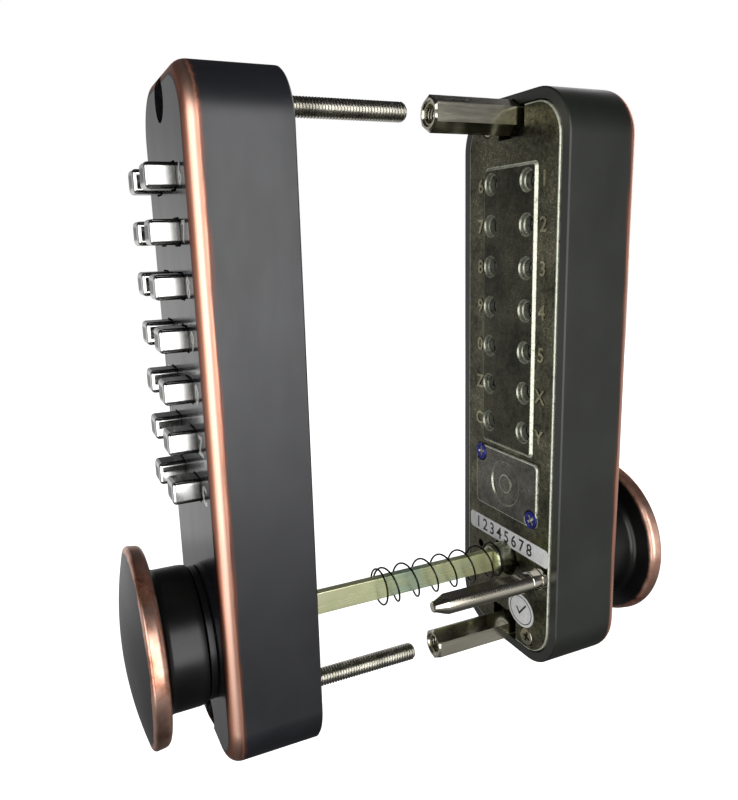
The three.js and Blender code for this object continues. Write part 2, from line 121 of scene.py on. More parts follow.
def ramp(tree, factor, *stops):
    """The colour that a factor picks from a row of (place, 0xRRGGBB) stops."""
    made = add(tree, "ShaderNodeValToRGB", {0: factor})
    points = made.color_ramp.elements
    while len(points) < len(stops):
        points.new(0.5)
    for point, (place, code) in zip(points, stops):
        point.position = place
        point.color = paint(code)
    return made.outputs[0]


sky = bpy.data.worlds.new("white_sky")
sky.use_nodes = True
sky_tree = sky.node_tree
direction = add(sky_tree, "ShaderNodeTexCoord").outputs["Generated"]
height = add(sky_tree, "ShaderNodeSeparateXYZ", {0: direction}).outputs["Z"]
half_height = add(sky_tree, "ShaderNodeMath", {0: height, 1: 0.5, 2: 0.5},
                  operation="MULTIPLY_ADD").outputs[0]
glow = ramp(sky_tree, half_height, (0.0, 0x303030), (0.14, 0x585858), (0.3, 0xA4A4A4), (0.47, 0xB8B8B8),
            (0.57, 0x6C6C6E), (0.66, 0x38383A), (1.0, 0x242426))
shown = add(sky_tree, "ShaderNodeLightPath").outputs["Is Camera Ray"]
tone = add(sky_tree, "ShaderNodeMix", {0: shown, 6: glow, 7: (1, 1, 1, 1)}, data_type="RGBA").outputs[2]
backdrop = sky_tree.nodes["Background"]
sky_tree.links.new(tone, backdrop.inputs["Color"])
backdrop.inputs["Strength"].default_value = 1.0
bpy.context.scene.world = sky


def window(name, place, target, size, power):
    """A soft rectangular light at a place, turned so that its face looks at the target."""
    data = bpy.data.lights.new(name, "AREA")
    data.shape = "RECTANGLE"
    data.size, data.size_y = size
    data.energy = power
    light = bpy.data.objects.new(name, data)
    bpy.context.scene.collection.objects.link(light)
    back = np.array(place, float) - np.array(target, float)
    back /= np.linalg.norm(back)
    side = np.cross((0, 0, 1), back)
    side /= np.linalg.norm(side)
    turn = np.eye(4)
    turn[:3, 0], turn[:3, 1], turn[:3, 2], turn[:3, 3] = side, np.cross(back, side), back, place
    light.matrix_world = turn.T.tolist()


middle = (np.array(cad_box[0]) + np.array(cad_box[1])) / 2
window("window_beside", (1.0, 0.1, 0.14), middle, (0.75, 1.0), 8.0)
window("window_over_camera", (0.55, -0.85, 0.02), middle, (0.9, 1.2), 8.5)
window("window_left", (-0.85, -0.45, 0.05), middle, (1.0, 1.0), 0.75)
window("window_behind", (-0.55, 1.0, 0.35), middle, (0.9, 0.8), 4.0)

floor_corners = [(x, y, middle[2] - floor_drop) for x, y in ((-1, -1), (1, -1), (1, 1), (-1, 1))]
floor_mesh = bpy.data.meshes.new("paper_sweep")
floor_mesh.from_pydata([(x * floor_half, y * floor_half, z) for x, y, z in floor_corners], [],
                       [(0, 1, 2, 3)])
floor = bpy.data.objects.new("paper_sweep", floor_mesh)
bpy.context.scene.collection.objects.link(floor)
paper = bpy.data.materials.new("white_paper")
paper.use_nodes = True
paper_tree = paper.node_tree
paper_place = add(paper_tree, "ShaderNodeTexCoord").outputs["Object"]
paper_fibre = add(paper_tree, "ShaderNodeTexNoise", {"Vector": paper_place, "Scale": 40}).outputs["Fac"]
paper_shader = paper_tree.nodes["Principled BSDF"]
paper_tree.links.new(ramp(paper_tree, paper_fibre, (0.3, 0xFBFBFA), (0.7, 0xFFFFFF)),
                     paper_shader.inputs["Base Color"])
paper_shader.inputs["Roughness"].default_value = 0.9
paper_shader.inputs["Emission Color"].default_value = (1, 1, 1, 1)
paper_shader.inputs["Emission Strength"].default_value = 1.0
floor_mesh.materials.append(paper)
floor.visible_glossy = False
floor.visible_diffuse = False

# ---------------------------------------------------------------------------------------------
# Casings
# The two cast zinc housings, one on each face of the door. They are blackened and lacquered,
# and the copper under the black is brushed bright all along the edge of the keypad face, with a
# painted highlight and painted shade across that edge.
# Sizes are millimetres on the half as a person facing its keypad sees it: across to their
# right, up, and out from the rim that meets the door.
# ---------------------------------------------------------------------------------------------
case_width, case_height, case_depth = 47.0, 160.0, 22.5
case_corner, case_edge = 13.0, 3.4
wall, face_wall, rim_edge = 3.0, 2.6, 0.35
row_pitch = 11.4
row_heights = [57.5 - row_pitch * row for row in range(7)]
key_across = 8.2
key_width, key_height, key_corner, key_play = 7.0, 5.4, 1.1, 0.35
knob_height = -51.5
end_heights = (74.0, -74.0)
bolt_hole, counterbore, counterbore_floor, boss_radius = 2.75, 4.75, 13.5, 5.7
plate_level = 2.0  # inner face of the back plate
plate_screws = ((-10.8, -73.0), (10.8, 73.0))
sleeve_flats = 8.0
rim_level = {side: 1000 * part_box(f"{side}_case")[edge][1] for side, edge in (("indoor", 1), ("outdoor", 0))}
toward = {"indoor": (1, -1), "outdoor": (-1, 1)}  # which way X and Y run on each half


def seat(side, points):
    """Puts points given on one half, (across, up, out) in millimetres, in their place in metres."""
    across, up, out = np.moveaxis(np.asarray(points, float), -1, 0)
    sideways, outward = toward[side]
    return np.stack([sideways * across, rim_level[side] + outward * out, up], -1) / 1000


def round_frame(profile, width, height, corner, centre=(0, 0), steps=12):
    """Rings of a round-cornered block. Each (inset, level) pair of the profile is the outline
    drawn in by the inset: four quarter circles, whose centres stay put while they shrink."""
    inset, level = np.array(profile, float).T[:, :, None]
    quarter = np.linspace(0, np.pi / 2, steps + 1)
    angle = (quarter + np.arange(4)[:, None] * np.pi / 2).ravel()
    sign_x = np.repeat([1, -1, -1, 1], steps + 1)
    sign_y = np.repeat([1, 1, -1, -1], steps + 1)
    radius = np.maximum(corner - inset, 0.05)
    x = centre[0] + sign_x * (width / 2 - inset - radius) + radius * np.cos(angle)
    y = centre[1] + sign_y * (height / 2 - inset - radius) + radius * np.sin(angle)
    return np.stack([x, y, level + 0 * x], -1)


def turned(profile, centre=(0, 0), sides=48):
    """Rings of a turned shape: each (radius, level) pair is a circle round the centre."""
    radius, level = np.array(profile, float).T[:, :, None]
    angle = np.linspace(0, 2 * np.pi, sides, endpoint=False)
    x = centre[0] + radius * np.cos(angle)
    y = centre[1] + radius * np.sin(angle)
    return np.stack([x, y, level + 0 * x], -1)


def rounding(inset, level, radius, steps=8, outward=1):
    """(inset, level) pairs of a quarter-round edge that starts square to the side and ends on a
    face: inset grows by r (1 - cos t) while the level moves by r sin t."""
    t = np.linspace(0, np.pi / 2, steps + 1)
    return list(zip(inset + radius * (1 - np.cos(t)), level - outward * radius * (1 - np.sin(t))))


def skin(name, *stacks):
    """A mesh object from stacks of closed rings, given in metres. Quads join each ring of a
    stack to the next, a face fills its first and last ring, and a stack whose signed volume
    comes out negative has its faces turned round."""
    points, faces, start = [], [], 0
    for rings in stacks:
        rows, count = rings.shape[:2]
        index = np.arange(rows * count).reshape(rows, count)
        after = np.roll(index, -1, axis=1)
        quads = np.stack([index[:-1], after[:-1], after[1:], index[1:]], -1).reshape(-1, 4)
        caps = np.stack([index[0][::-1], index[-1]])
        flat = rings.reshape(-1, 3)
        flat = flat - flat.mean(0)
        fans = [np.stack([np.repeat(cap[:1], count - 2), cap[1:-1], cap[2:]], -1) for cap in caps]
        corners = np.concatenate([quads[:, [0, 1, 2]], quads[:, [0, 2, 3]], *fans])
        a, b, c = flat[corners].transpose(1, 0, 2)
        if (a * np.cross(b, c)).sum() < 0:
            quads, caps = quads[:, ::-1], caps[:, ::-1]
        points.append(rings.reshape(-1, 3))
        faces += (quads + start).tolist() + (caps + start).tolist()
        start += rows * count
    mesh = bpy.data.meshes.new(name)
    mesh.from_pydata(np.concatenate(points), [], faces)
    made = bpy.data.objects.new(name, mesh)
    bpy.context.scene.collection.objects.link(made)
    return made


def shape(piece, tool, operation="DIFFERENCE"):
    """Adds the tool to the piece, or cuts it out, and throws the tool away."""
    step = piece.modifiers.new(operation.lower(), "BOOLEAN")
    step.object = tool
    step.operation = operation
    step.solver = "EXACT"
    step.use_self = True
    bake(piece)
    bpy.data.objects.remove(tool)


def bake(piece):
    """Makes the piece's mesh what its modifiers show."""
    shown_mesh = bpy.data.meshes.new_from_object(piece.evaluated_get(bpy.context.evaluated_depsgraph_get()))
    piece.modifiers.clear()
    piece.data = shown_mesh


def smooth(piece, crease=32):
    """Smooth shading that breaks at edges sharper than the crease, with flat faces kept flat."""
    piece.data.shade_smooth()
    piece.data.set_sharp_from_angle(angle=radians(crease))
    level_out = piece.modifiers.new("level_out", "WEIGHTED_NORMAL")
    level_out.keep_sharp = True
    bake(piece)


def fit(piece, material, body, slot, *nodes):
    """Gives a piece its material and makes it ride its body in place of its CAD nodes."""
    piece.data.materials.clear()
    piece.data.materials.append(material)
    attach(piece, body)
    if nodes:
        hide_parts(*nodes)


def finish(name):
    """A new node material, its tree, its Principled shader and its Object coordinates."""
    material = bpy.data.materials.new(name)
    material.use_nodes = True
    tree = material.node_tree
    place = add(tree, "ShaderNodeTexCoord").outputs["Object"]
    return material, tree, tree.nodes["Principled BSDF"], place


def calc(tree, operation, *values):
    """One Math node's output."""
    return add(tree, "ShaderNodeMath", dict(enumerate(values)), operation=operation).outputs[0]


def between(tree, value, low, high):
    """0 below low, 1 above high, and a smooth step from one to the other."""
    settings = {"Value": value, "From Min": low, "From Max": high}
    return add(tree, "ShaderNodeMapRange", settings, interpolation_type="SMOOTHSTEP").outputs[0]


def grain(tree, place, scale, detail=3.0, stretch=(1, 1, 1), spread=0.6):
    """Noise with its cells a given number to the metre, longer along an axis with a small stretch."""
    laid = add(tree, "ShaderNodeMapping", {"Vector": place, "Scale": stretch}).outputs[0]
    settings = {"Vector": laid, "Scale": scale, "Detail": detail, "Roughness": spread}
    return add(tree, "ShaderNodeTexNoise", settings).outputs["Fac"]


def mixed(tree, factor, first, second):
    """One colour going over to another."""
    return add(tree, "ShaderNodeMix", {0: factor, 6: first, 7: second}, data_type="RGBA").outputs[2]


def bump(tree, shader, height, strength, distance):
    """Raises the surface by a height pattern, in metres, before it is lit."""
    made = add(tree, "ShaderNodeBump", {"Height": height, "Strength": strength, "Distance": distance})
    tree.links.new(made.outputs[0], shader.inputs["Normal"])


lacquer_tones = {"indoor": (0x17181B, 0x24252A), "outdoor": (0x1A1D18, 0x282B24)}
copper_bright, copper_mid, copper_deep, copper_black = 0xF6C8B4, 0xDC9E84, 0x92533F, 0x20130F


def from_outline(tree, place, width, height, corner, middle_height=0.0):
    """How far inside a round-cornered outline on the half's face a point is, in metres."""
    apart = add(tree, "ShaderNodeSeparateXYZ", {0: place})
    over = []
    for value, middle, half in ((apart.outputs[0], 0.0, width / 2 - corner),
                                (apart.outputs[2], middle_height, height / 2 - corner)):
        away = calc(tree, "ABSOLUTE", calc(tree, "SUBTRACT", value, middle / 1000))
        past = calc(tree, "SUBTRACT", away, half / 1000)
        over.append((past, calc(tree, "MAXIMUM", past, 0)))
    squares = [calc(tree, "MULTIPLY", beyond, beyond) for _, beyond in over]
    inside = calc(tree, "MINIMUM", calc(tree, "MAXIMUM", over[0][0], over[1][0]), 0)
    outside = calc(tree, "SQRT", calc(tree, "ADD", *squares))
    return calc(tree, "SUBTRACT", calc(tree, "SUBTRACT", corner / 1000, outside), inside)


def casing_finish(side):
    """Black lacquer with copper where the edge of the face is rubbed through. Across the edge
    a measure runs from -1 where the side ends to 1 where the face starts: the inset from the
    outline, less the depth below the face, over the edge radius. Only points that lie on the
    edge's own quarter circle are rubbed, so the holes stay black. The copper's tone across the
    edge is painted light: a painted highlight toward the side, and painted shade down to a black
    line toward the face."""
    material, tree, shader, place = finish(f"{side}_casing_bronze")
    inset = from_outline(tree, place, case_width, case_height, case_corner)
    face_at = (rim_level[side] + toward[side][1] * case_depth) / 1000
    y = add(tree, "ShaderNodeSeparateXYZ", {0: place}).outputs["Y"]
    below = calc(tree, "ABSOLUTE", calc(tree, "SUBTRACT", y, face_at))
    across = calc(tree, "DIVIDE", calc(tree, "SUBTRACT", inset, below), case_edge / 1000)
    short_in = calc(tree, "MAXIMUM", calc(tree, "SUBTRACT", case_edge / 1000, inset), 0)
    short_down = calc(tree, "MAXIMUM", calc(tree, "SUBTRACT", case_edge / 1000, below), 0)
    arm = calc(tree, "SQRT", calc(tree, "ADD", calc(tree, "MULTIPLY", short_in, short_in),
                                  calc(tree, "MULTIPLY", short_down, short_down)))
    on_edge = between(tree, arm, (case_edge - 0.45) / 1000, (case_edge - 0.3) / 1000)
    streaks = grain(tree, place, 1100, 4, (1, 1, 0.05))
    patches = grain(tree, place, 70, 3, (1, 1, 0.5))
    ragged = calc(tree, "MULTIPLY_ADD", streaks, 0.6, calc(tree, "MULTIPLY_ADD", patches, 0.5, -0.55))
    worn = calc(tree, "ADD", across, ragged)
    side_limit = between(tree, worn, -1.12, -0.66)
    face_limit = between(tree, across, 0.86, 0.99)
    rubbed = calc(tree, "MULTIPLY", on_edge,
                  calc(tree, "MULTIPLY", side_limit, calc(tree, "SUBTRACT", 1, face_limit)))
    # Painted highlight and painted shade: by its place across the edge, the copper is painted bright a little
    # toward the side and dark, then black, toward the face.
    mark = calc(tree, "MULTIPLY_ADD",
                calc(tree, "ADD", across, calc(tree, "MULTIPLY_ADD", streaks, 0.3, -0.15)), 0.5, 0.5)
    metal = ramp(tree, mark, (0.03, copper_deep), (0.1, copper_mid), (0.3, copper_bright),
                 (0.62, copper_mid), (0.86, copper_deep), (0.96, copper_black))
    dark, haze = lacquer_tones[side]
    lacquer = ramp(tree, grain(tree, place, 35, 4), (0.35, dark), (0.7, haze))
    tree.links.new(mixed(tree, rubbed, lacquer, metal), shader.inputs["Base Color"])
    tree.links.new(rubbed, shader.inputs["Metallic"])
    smear = grain(tree, place, 120, 5, (1, 1, 0.35))
    on_face = between(tree, across, 0.9, 1.05)
    gloss = calc(tree, "MULTIPLY_ADD", on_face, -0.2, calc(tree, "MULTIPLY_ADD", smear, 0.2, 0.28))
    tree.links.new(gloss, shader.inputs["Roughness"])
    shader.inputs["IOR"].default_value = 1.6
    return material


casing_profile = (
    [(wall, case_depth - face_wall), (wall, rim_edge), (wall - rim_edge / 2, 0), (rim_edge, 0),
     (0, rim_edge)]
    + rounding(0, case_depth, case_edge, 10)
)
for side in ("indoor", "outdoor"):
    casing = skin(f"{side}_casing",
                  seat(side, round_frame(casing_profile, case_width, case_height, case_corner, steps=14)))
    inside = case_depth - face_wall + 0.5
    bosses = [turned([(boss_radius, plate_level + 0.3), (boss_radius, inside)], (0, y), 40)
              for y in end_heights]
    bosses += [turned([(3.2, plate_level + 0.3), (3.2, inside)], place, 24) for place in plate_screws]
    shape(casing, skin("bosses", *(seat(side, boss) for boss in bosses)), "UNION")
    tools = [turned([(6.3, 15), (6.3, 30)], (0, knob_height), 48)]
    tools += [turned([(1.5, -1), (1.5, 9)], place, 20) for place in plate_screws]
    for y in row_heights:
        for x in (-key_across, key_across):
            outline = (key_width + 2 * key_play, key_height + 2 * key_play, key_corner + key_play, (x, y), 6)
            tools.append(round_frame([(0, 15), (0, 30)], *outline))
    for y in end_heights:
        if side == "indoor":
            bore = [(bolt_hole, -1), (bolt_hole, counterbore_floor + 0.5)]
            bore += [(counterbore, counterbore_floor), (counterbore, 30)]
            tools.append(turned(bore, (0, y), 64))
        else:
            pocket = sleeve_flats / sqrt(3) + 0.35
            tools.append(turned([(pocket, -1), (pocket, 2.35)], (0, y), 6)[..., [1, 0, 2]]
                         + np.array((-y, y, 0)))
    shape(casing, skin("windows", *(seat(side, tool) for tool in tools)))
    smooth(casing)
    fit(casing, casing_finish(side), f"{side}_half", "bronze_case", f"{side}_case")

# ---------------------------------------------------------------------------------------------
# Back plates
# Pressed zinc plates, yellow passivated, that close the casings. A raised panel bears on the
# door, and stepped holes let a key reach the tumblers to change the code.
# ---------------------------------------------------------------------------------------------
plate_outer, door_level = -0.4, -1.1
plate_gap = wall + 0.3
panel_top, panel_bottom, panel_width = row_heights[0] + 4.5, row_heights[-1] - 6.6, 24.0
cover_middle, cover_width, cover_height = -28.5, 30.0, 19.4
cover_screws = ((12.4, -21.4), (-12.4, -35.6))
pin_across = -17.1


def zinc_finish(name, dark, light, fleck, rough=0.34, edge_highlights=None, darker_area=None):
    """Passivated zinc: a dark film with lighter clouds, a scatter of bright flecks and fine pits.
    Two functions give masks: the first, of where the film is painted bare and bright as painted
    highlights along edges; the second, of where its colour is drawn part way to the dark tone."""
    material, tree, shader, place = finish(name)
    clouds = grain(tree, place, 60, 4)
    mottle = grain(tree, place, 700, 6, spread=0.8)
    base = ramp(tree, calc(tree, "MULTIPLY_ADD", mottle, 0.6, calc(tree, "MULTIPLY", clouds, 0.45)),
                (0.42, dark), (0.66, light))
    specks = grain(tree, place, 2200, 2, spread=0.8)
    bright = calc(tree, "MULTIPLY", between(tree, specks, 0.56, 0.72), between(tree, clouds, 0.4, 0.66))
    film = mixed(tree, bright, base, paint(fleck))
    # Over the area that the second mask gives, which is the raised panel, the colour is drawn part way to the
    # dark tone.
    if darker_area:
        film = mixed(tree, calc(tree, "MULTIPLY", darker_area(tree, place), 0.55), film, paint(dark))
    if edge_highlights:
        # Painted highlight: bright bare metal painted along the edges and round the hole mouths.
        painted_highlight = calc(tree, "MULTIPLY", edge_highlights(tree, place), between(tree, mottle, 0.2, 0.5))
        film = mixed(tree, painted_highlight, film, ramp(tree, mottle, (0.3, 0xB8BCA4), (0.7, 0xF2F4E4)))
        tree.links.new(calc(tree, "MULTIPLY_ADD", painted_highlight, -0.5, 1), shader.inputs["Metallic"])
    else:
        shader.inputs["Metallic"].default_value = 1.0
    tree.links.new(film, shader.inputs["Base Color"])
    tree.links.new(calc(tree, "MULTIPLY_ADD", mottle, 0.3, rough - 0.12), shader.inputs["Roughness"])
    bump(tree, shader, mottle, 0.3, 0.00006)
    return material


def either(tree, *masks):
    """Where any of the masks is."""
    whole = masks[0]
    for mask in masks[1:]:
        whole = calc(tree, "MAXIMUM", whole, mask)
    return whole


def line_at(tree, inset, start, end):
    """1 between two insets, in millimetres, with soft limits."""
    soft = 0.00006
    rise = between(tree, inset, start / 1000 - soft, start / 1000 + soft)
    fall = between(tree, inset, end / 1000 - soft, end / 1000 + soft)
    return calc(tree, "SUBTRACT", rise, fall)


def plate_edge_highlights(tree, place):
    """The painted highlights of a back plate: bright bare lines on its own edge, on the chamfer of
    its panel, and in a ring round each stepped hole, whose centre is the nearest one on an even row."""
    plate_line = line_at(tree,
                         from_outline(tree, place, case_width - 2 * plate_gap, case_height - 2 * plate_gap,
                                            case_corner - plate_gap), -0.5, 0.42)
    panel_line = line_at(tree, from_outline(tree, place, panel_width, panel_top - panel_bottom, 1.4,
                                            (panel_top + panel_bottom) / 2), -0.12, 0.72)
    apart = add(tree, "ShaderNodeSeparateXYZ", {0: place})
    x = calc(tree, "SUBTRACT", calc(tree, "ABSOLUTE", apart.outputs[0]), key_across / 1000)
    rise = calc(tree, "SUBTRACT", apart.outputs[2], row_heights[-1] / 1000)
    nearest = calc(tree, "ROUND", calc(tree, "DIVIDE", rise, row_pitch / 1000))
    row = calc(tree, "MINIMUM", calc(tree, "MAXIMUM", nearest, 0), len(row_heights) - 1)
    z = calc(tree, "SUBTRACT", rise, calc(tree, "MULTIPLY", row, row_pitch / 1000))
    radius = calc(tree, "SQRT",
                  calc(tree, "ADD", calc(tree, "MULTIPLY", x, x), calc(tree, "MULTIPLY", z, z)))
    ring = line_at(tree, radius, 2.3, 3.15)
    return either(tree, plate_line, panel_line, calc(tree, "MULTIPLY", ring, 0.7))


def inside_panel(tree, place):
    """1 over the raised panel, inside its chamfer."""
    inset = from_outline(tree, place, panel_width, panel_top - panel_bottom, 1.4,
                         (panel_top + panel_bottom) / 2)
    return between(tree, inset, 0.0006, 0.0012)


plate_zinc = zinc_finish("passivated_plate", 0x262620, 0x74725C, 0xC4C0A4, 0.34, plate_edge_highlights, inside_panel)
for side in ("indoor", "outdoor"):
    edge = rounding(0, plate_outer, 0.35, 4, -1)
    outline = (case_width - 2 * plate_gap, case_height - 2 * plate_gap, case_corner - plate_gap)
    plate = skin(f"{side}_pressed_plate",
                 seat(side, round_frame([(0, plate_level)] + edge, *outline, steps=10)))
    panel_profile = [(0, 1.0), (0, plate_outer - 0.02), (0.55, door_level + 0.1), (0.75, door_level)]
    panel_size = (panel_width, panel_top - panel_bottom, 1.4, (0, (panel_top + panel_bottom) / 2), 5)
    shape(plate, skin("panel", seat(side, round_frame(panel_profile, *panel_size))), "UNION")
    tools = []
    for y in row_heights:
        for x in (-key_across, key_across):
            mouth = [(3.15, -2), (3.15, door_level), (2.8, door_level + 0.35), (2.75, 0.1), (2.4, 0.35),
                     (2.4, 3)]
            tools.append(turned(mouth, (x, y), 32))
    tools.append(round_frame([(0, -2), (0, plate_outer + 0.4)], cover_width + 0.3, cover_height + 0.3, 1.9,
                             (0, cover_middle), 5))
    tools += [turned([(2.95, -2), (2.95, plate_outer), (1.5, plate_outer + 1.5), (1.5, 3)], place, 32)
              for place in plate_screws]
    tools.append(turned([(1.3, -2), (1.3, 3)], (13.1, -52.2), 20))
    for y in end_heights:
        inner, outer = abs(y) - sleeve_flats / sqrt(3) - 0.6, case_height / 2
        notch = (2 * (sleeve_flats / 2 + 1.7), outer - inner, 0.1, (0, np.sign(y) * (inner + outer) / 2), 1)
        tools.append(round_frame([(0, -2), (0, 3)], *notch))
    if side == "outdoor":
        tools.append(turned([(2.1, -2), (2.1, 3)], (pin_across, knob_height), 24))
    shape(plate, skin("holes", *(seat(side, tool) for tool in tools)))
    hub_hole = [turned([(5.8, -2), (5.8, 3)], (0, knob_height), 48)]
    hub_hole.append(round_frame([(0, -2), (0, 3)], 14.0, 1.6, 0.3, (0, knob_height), 2))
    hub_hole.append(turned([(1.3, -2), (1.3, 3)], (4.6, knob_height - 4.2), 20))
    shape(plate, skin("hub_hole", *(seat(side, tool) for tool in hub_hole)))
    small = [turned([(1.5, -2), (1.5, 3)], place, 24) for place in cover_screws]
    shape(plate, skin("screw_holes", *(seat(side, tool) for tool in small)))
    smooth(plate)
    fit(plate, plate_zinc, f"{side}_half", "zinc_plate", f"{side}_back_plate")

# ---------------------------------------------------------------------------------------------
# Cast marks
# Raised figures on each back plate, beside the holes, that say which button each tumbler is.
# They are pressed with the plate, and their tops are rubbed bright.
# ---------------------------------------------------------------------------------------------
mark_height, mark_rise, mark_weight = 4.0, 0.22, 0.02
marks_right, marks_left = "67890ZC", "12345XY"  # as seen from the keypad


def lettering(text, height, thick, weight=0.0, spacing=1.0):
    """The points and faces of flat letters a given height, centred on the origin, with a front
    at zero and a back at the thickness."""
    curve = bpy.data.curves.new("letters", "FONT")
    curve.body = text
    curve.align_x, curve.align_y = "CENTER", "CENTER"
    curve.extrude = 0.5
    curve.offset = weight
    curve.space_character = spacing
    curve.resolution_u = 4
    holder = bpy.data.objects.new("letters", curve)
    bpy.context.scene.collection.objects.link(holder)
    mesh = bpy.data.meshes.new_from_object(holder.evaluated_get(bpy.context.evaluated_depsgraph_get()))
    bpy.data.objects.remove(holder)
    points = np.zeros(len(mesh.vertices) * 3)
    mesh.vertices.foreach_get("co", points)
    points = points.reshape(-1, 3)
    low, high = points.min(0), points.max(0)
    points[:, :2] = (points[:, :2] - (low + high)[:2] / 2) * height / (high - low)[1]
    points[:, 2] = (0.5 - points[:, 2]) * thick
    faces = [tuple(face.vertices) for face in mesh.polygons]
    return points, faces


def engraved(name, side, letters):
    """One mesh from letters already laid out on a half: rows of (points, faces)."""
    points = np.concatenate([rows for rows, _ in letters])
    starts = np.cumsum([0] + [len(rows) for rows, _ in letters])
    faces = [[start + corner for corner in face]
             for start, (_, made) in zip(starts, letters) for face in made]
    mesh = bpy.data.meshes.new(name)
    mesh.from_pydata(seat(side, points), [], faces)
    tidy = bpy.data.objects.new(name, mesh)
    bpy.context.scene.collection.objects.link(tidy)
    weld = tidy.modifiers.new("weld", "WELD")
    weld.merge_threshold = 1e-6
    bake(tidy)
    return tidy


mark_zinc = zinc_finish("rubbed_marks", 0x66624C, 0xB4AE90, 0xF6F0D4, 0.3)
for side in ("indoor", "outdoor"):
    letters = []
    for x, marks in ((13.9, marks_right), (-14.7, marks_left)):
        for y, mark in zip(row_heights, marks):
            points, faces = lettering(mark, mark_height, 1.0, mark_weight)
            points[:, 0] = x - points[:, 0]
            points[:, 1] += y
            points[:, 2] = plate_outer - mark_rise + points[:, 2] * (mark_rise + 0.1)
            letters.append((points, [face[::-1] for face in faces]))
    figures = engraved(f"{side}_cast_marks", side, letters)
    fit(figures, mark_zinc, f"{side}_half", "zinc_plate")

# ---------------------------------------------------------------------------------------------
# Code covers
# A small zinc plate over the code chamber of each half, let into the back plate, with a round
# coin recess and a flat disc in the middle of it.
# ---------------------------------------------------------------------------------------------


def cover_edge_highlights(tree, place):
    """The painted highlights of a code cover: bright bare lines on its edge and on both sides of the coin
    recess.
    """
    outline = line_at(tree, from_outline(tree, place, cover_width - 0.3, cover_height - 0.3, 1.8,
                                         cover_middle), -0.3, 0.42)
    centred = add(tree, "ShaderNodeMapping",
                  {"Vector": place, "Location": (0, 0, -cover_middle / 1000)}).outputs[0]
    flat = add(tree, "ShaderNodeVectorMath", {0: centred, 1: (1, 0, 1)}, operation="MULTIPLY").outputs[0]
    radius = add(tree, "ShaderNodeVectorMath", {0: flat}, operation="LENGTH").outputs["Value"]
    rings = either(tree, line_at(tree, radius, 6.35, 6.8), line_at(tree, radius, 2.5, 2.95))
    return either(tree, outline, calc(tree, "MULTIPLY", rings, 0.6))


cover_zinc = zinc_finish("passivated_cover", 0x40403A, 0x74726A, 0xB0AC9C, 0.28, cover_edge_highlights)
cover_outer, cover_inner = -1.05, -0.15
for side in ("indoor", "outdoor"):
    edge = rounding(0, cover_outer, 0.4, 4, -1)
    cover = skin(f"{side}_chamber_cover", seat(side, round_frame(
        [(0, cover_inner)] + edge, cover_width - 0.3, cover_height - 0.3, 1.8, (0, cover_middle), 6)))
    floor_level = cover_outer + 0.4
    tools = [turned([(2.95, -2), (2.95, cover_outer), (1.5, cover_outer + 1.5), (1.5, 2)], place, 32)
             for place in cover_screws]
    tools.append(turned([(6.75, -2), (6.75, cover_outer), (6.4, floor_level)], (0, cover_middle), 64))
    shape(cover, skin("recess", *(seat(side, tool) for tool in tools)))
    disc = turned([(2.9, floor_level + 0.25), (2.9, cover_outer + 0.2), (2.75, cover_outer + 0.09),
                   (2.6, cover_outer + 0.05)],
                  (0, cover_middle), 48)
    shape(cover, skin("disc", seat(side, disc)), "UNION")
    smooth(cover)
    fit(cover, cover_zinc, f"{side}_half", "zinc_plate", f"{side}_code_cover")

# ---------------------------------------------------------------------------------------------
# Screws
# Countersunk cross-head screws: two blue lacquered ones hold each code cover, and two plain
# steel ones hold each back plate to the casing.
# ---------------------------------------------------------------------------------------------
head_radius, head_height, shank_radius, screw_length = 2.6, 1.2, 1.2, 6.0


def cross_head(name, side, level, place, turn):
    """A flat-head screw: a turned profile less two crossed slots that narrow as they go down."""
    profile = [(1.0, level + screw_length), (shank_radius, level + screw_length - 0.5),
               (shank_radius, level + head_height), (head_radius, level + 0.12),
               (head_radius - 0.12, level), (0.4, level)]
    screw = skin(name, seat(side, turned(profile, place, 40)))
    arms = []
    for quarter in (0, 1):
        angle = turn + quarter * np.pi / 2
        bar = round_frame([(0, level - 1), (0.02, level), (0.28, level + 0.9)], 3.3, 1.0, 0.12, (0, 0), 2)
        x = bar[..., 0] * cos(angle) - bar[..., 1] * sin(angle) + place[0]
        y = bar[..., 0] * sin(angle) + bar[..., 1] * cos(angle) + place[1]
        arms.append(seat(side, np.stack([x, y, bar[..., 2]], -1)))
    shape(screw, skin("cross", *arms))
    smooth(screw)
    return screw


def lacquer_finish(side):
    """Deep blue lacquer over steel, rubbed through in the cross, which is all that lies more
    than a tenth of a millimetre below the head's face."""
    material, tree, shader, place = finish(f"{side}_blue_lacquer")
    tone = grain(tree, place, 700, 4)
    blue = ramp(tree, tone, (0.35, 0x080C48), (0.56, 0x141E88), (0.72, 0x5058B0))
    head_at = (rim_level[side] + toward[side][1] * cover_outer) / 1000
    along = add(tree, "ShaderNodeSeparateXYZ", {0: place}).outputs["Y"]
    depth = calc(tree, "ABSOLUTE", calc(tree, "SUBTRACT", along, head_at))
    in_cross = between(tree, depth, 0.00008, 0.00025)
    tree.links.new(mixed(tree, in_cross, blue, paint(0xC4C4BC)), shader.inputs["Base Color"])
    shader.inputs["Metallic"].default_value = 0.75
    tree.links.new(calc(tree, "MULTIPLY_ADD", tone, 0.3, 0.1), shader.inputs["Roughness"])
    bump(tree, shader, tone, 0.3, 0.00005)
    return material


def steel_finish(name, dark, light, rough, stretch=(1, 1, 1)):
    """Bare or plated steel: a grey that drifts a little, with fine brushing along one axis."""
    material, tree, shader, place = finish(name)
    drift = grain(tree, place, 180, 4, stretch)
    tree.links.new(ramp(tree, drift, (0.32, dark), (0.68, light)), shader.inputs["Base Color"])
    shader.inputs["Metallic"].default_value = 1.0
    brushed = grain(tree, place, 1400, 3, stretch)
    tree.links.new(calc(tree, "MULTIPLY_ADD", brushed, 0.2, rough - 0.1), shader.inputs["Roughness"])
    bump(tree, shader, brushed, 0.15, 0.00003)
    return material


